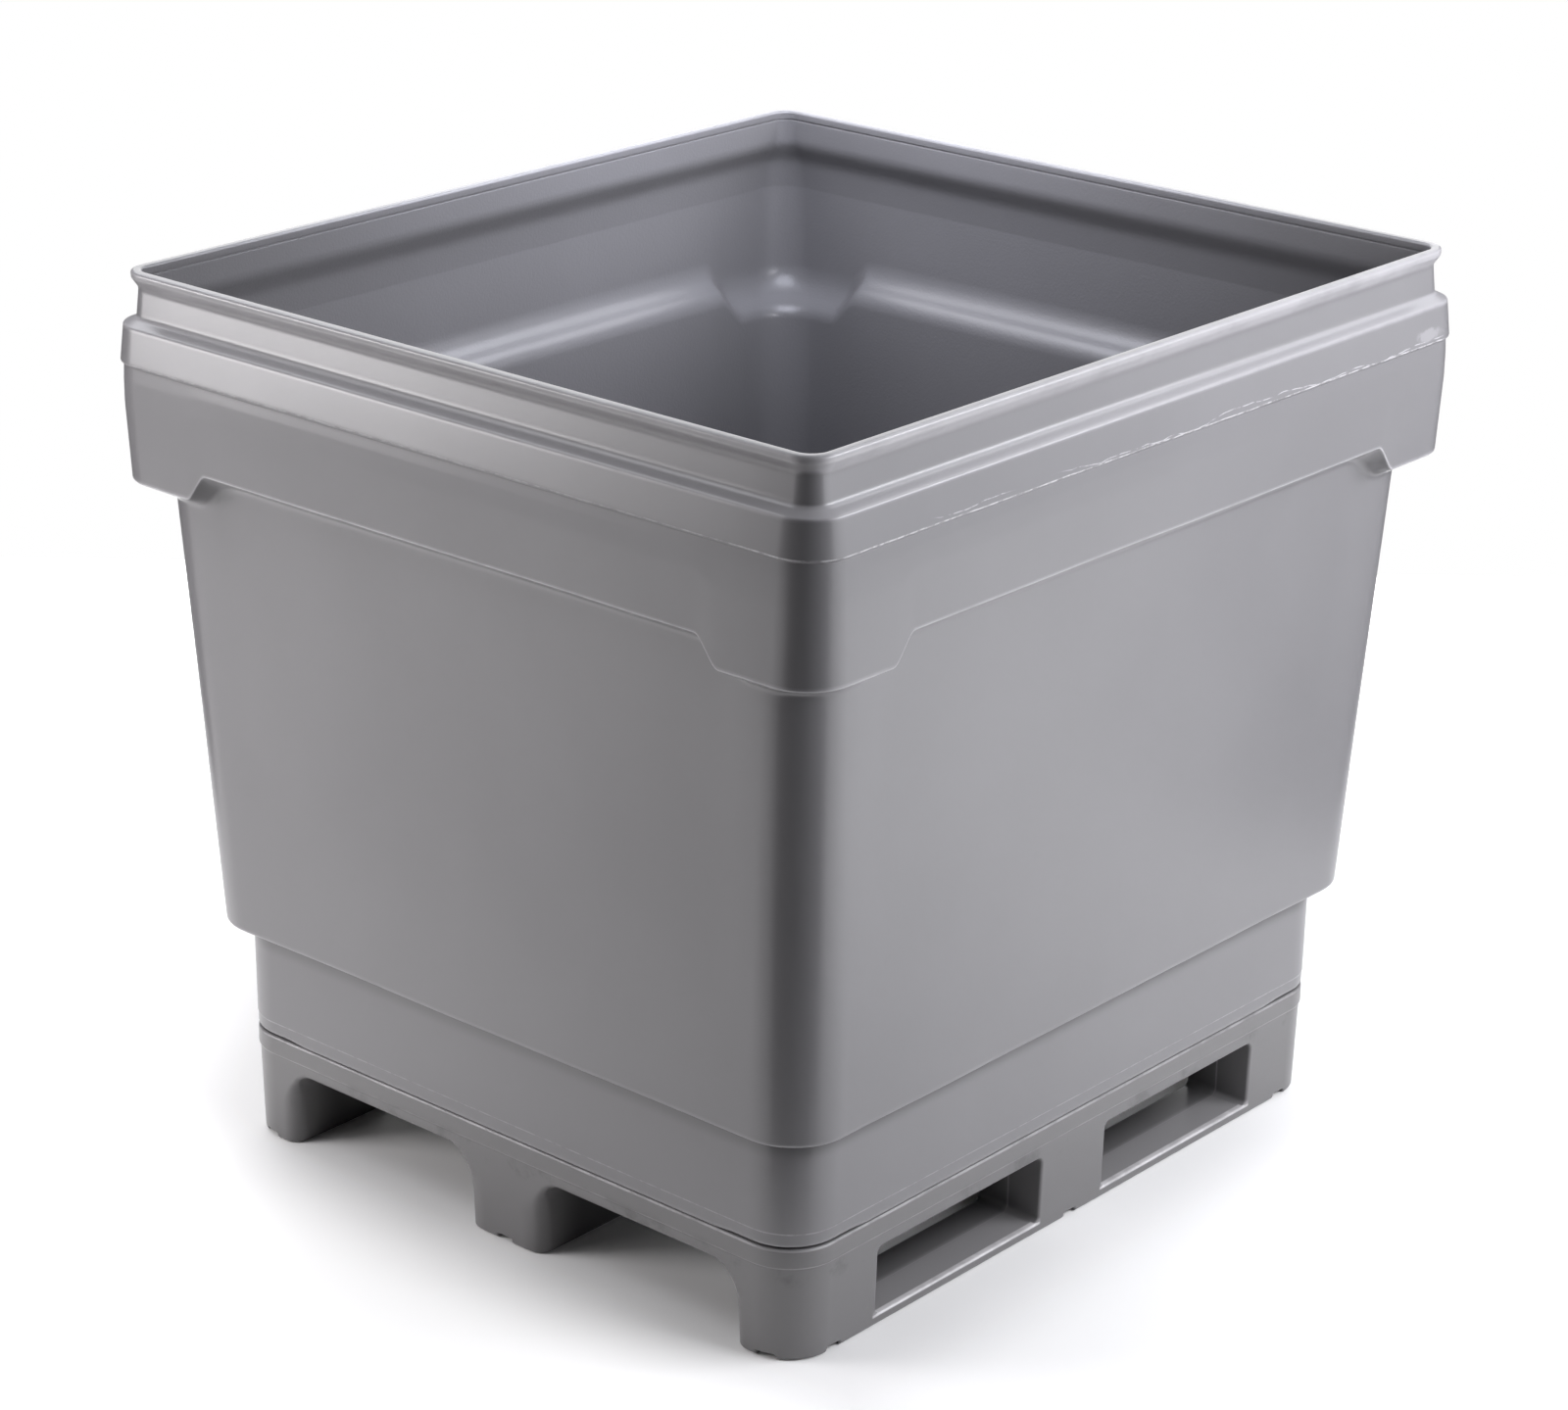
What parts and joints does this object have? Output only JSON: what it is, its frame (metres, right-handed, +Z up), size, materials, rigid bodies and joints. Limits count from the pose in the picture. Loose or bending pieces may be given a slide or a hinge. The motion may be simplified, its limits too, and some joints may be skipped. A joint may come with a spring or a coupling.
{
  "type": "fruit bin",
  "caption": "Open-top moulded plastic bulk bin with a rolled rim, stepped outer band with corner pads and tapered body, bolted onto a hollow pallet base with fork channels and fork windows",
  "frame": {"origin": "On the floor, under the middle of the bin", "axes": "+Z up, X along the length, which is the way the open fork channels run, Y across the width, which is the way the closed fork windows run. The picture's right face is the front, towards -Y, and its left face is towards -X"},
  "size_m": [1.2186, 1.1136, 1.12],
  "materials": {
    "tub_plastic": "satin moulded polyethylene, mid grey, with scuffs along the parting line",
    "base_plastic": "satin moulded polyethylene, mid grey, scuffed on the lower edges",
    "insert_brass": "turned brass",
    "sleeve_steel": "plain steel tube",
    "bolt_steel": "stainless steel",
    "washer_steel": "stainless steel",
    "spring_steel": "spring steel",
    "plug_plastic": "black moulded plastic"
  },
  "bodies": {
    "root": {"tub": "tub_plastic", "pallet_base": "base_plastic", "threaded_inserts": "insert_brass", "compression_sleeves": "sleeve_steel", "hex_bolts": "bolt_steel", "flat_washers": "washer_steel", "lock_washers": "spring_steel", "vent_plug": "plug_plastic"}
  },
  "joints": []
}
